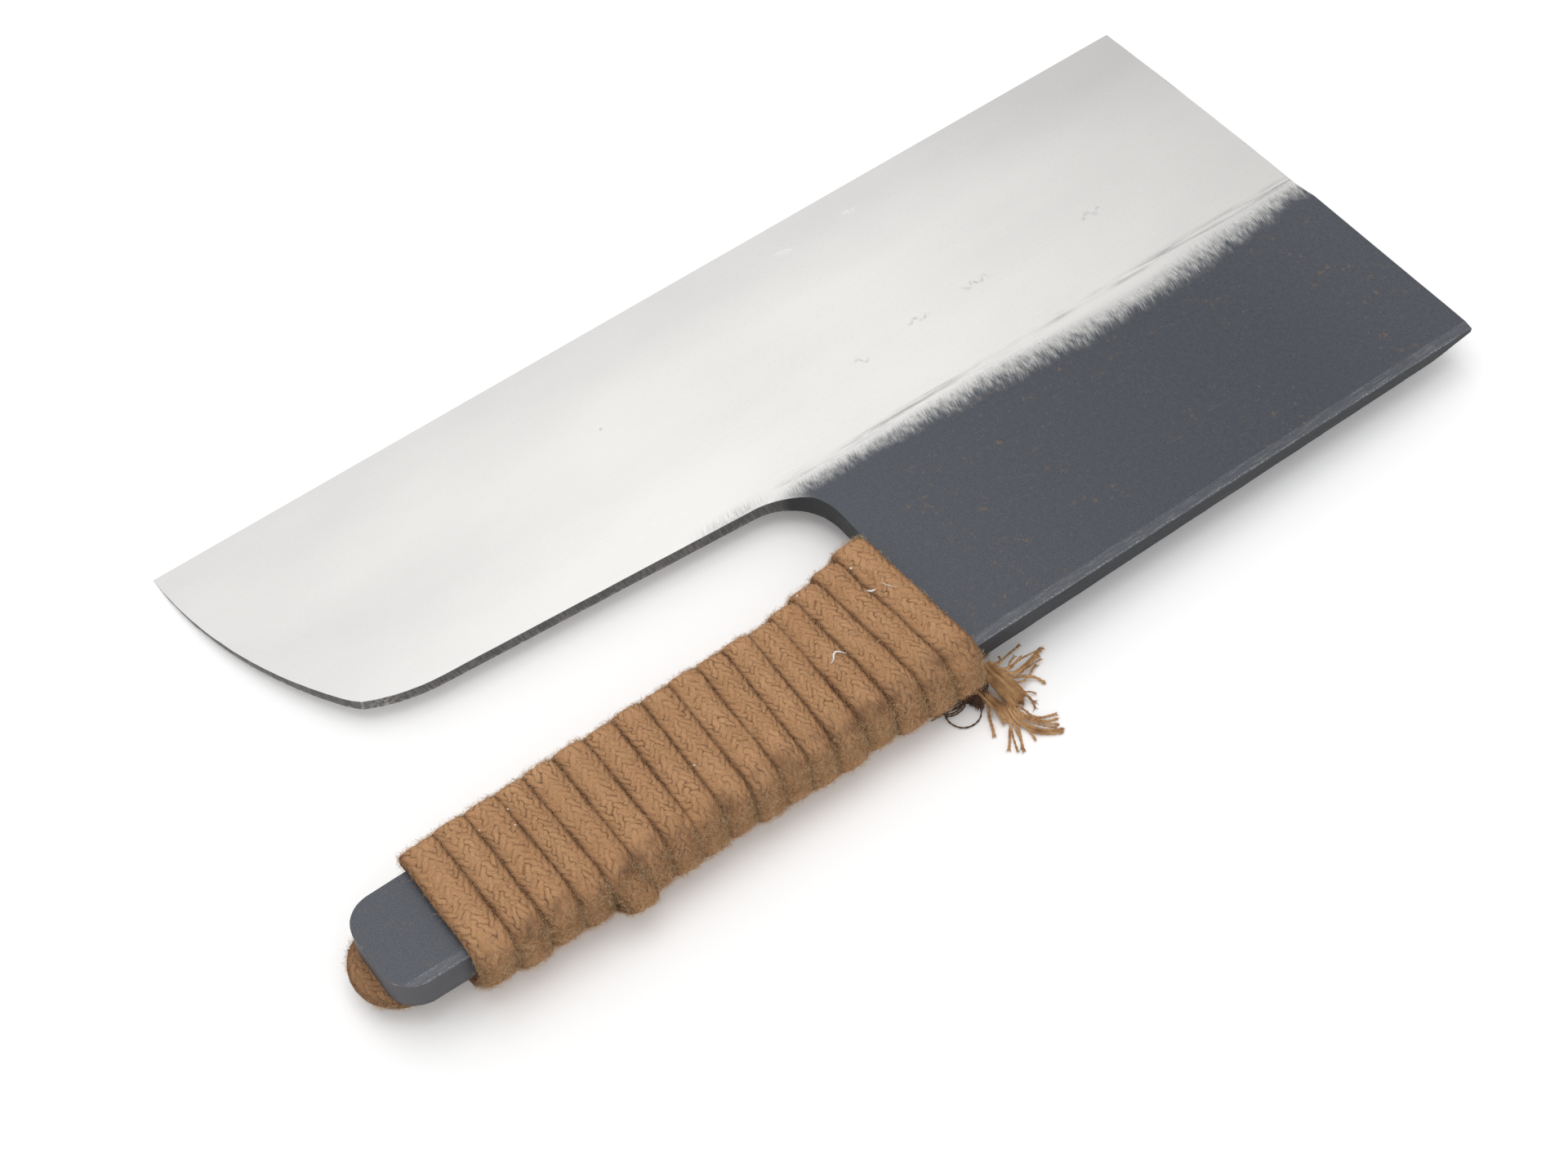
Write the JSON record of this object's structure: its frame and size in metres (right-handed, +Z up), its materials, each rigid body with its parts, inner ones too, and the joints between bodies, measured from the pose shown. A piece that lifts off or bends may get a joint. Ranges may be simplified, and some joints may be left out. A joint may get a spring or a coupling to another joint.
{
  "type": "soba knife",
  "caption": "Broad straight-edged noodle knife with a ground bevel under a black forged face; its tang runs back over the long heel and is wound with braided cotton cord.",
  "frame": {"origin": "on the table under the middle of the part's box, with the knife lying as it rests, on its edge and on its winding", "axes": "+X along the cutting edge from the heel to the front, +Y from the spine to the edge, +Z up from the table"},
  "size_m": [0.254, 0.127, 0.0183],
  "materials": {
    "forged_steel": "bright ground bevel below a dark blue-grey forge scale, with brushed strokes where they meet",
    "cotton_cord": "undyed light brown braided cotton, matt and slightly hairy"
  },
  "bodies": {
    "root": {"blade": "forged_steel", "cord_winding": "cotton_cord", "cord_bight": "cotton_cord", "cord_tail": "cotton_cord"}
  },
  "joints": []
}
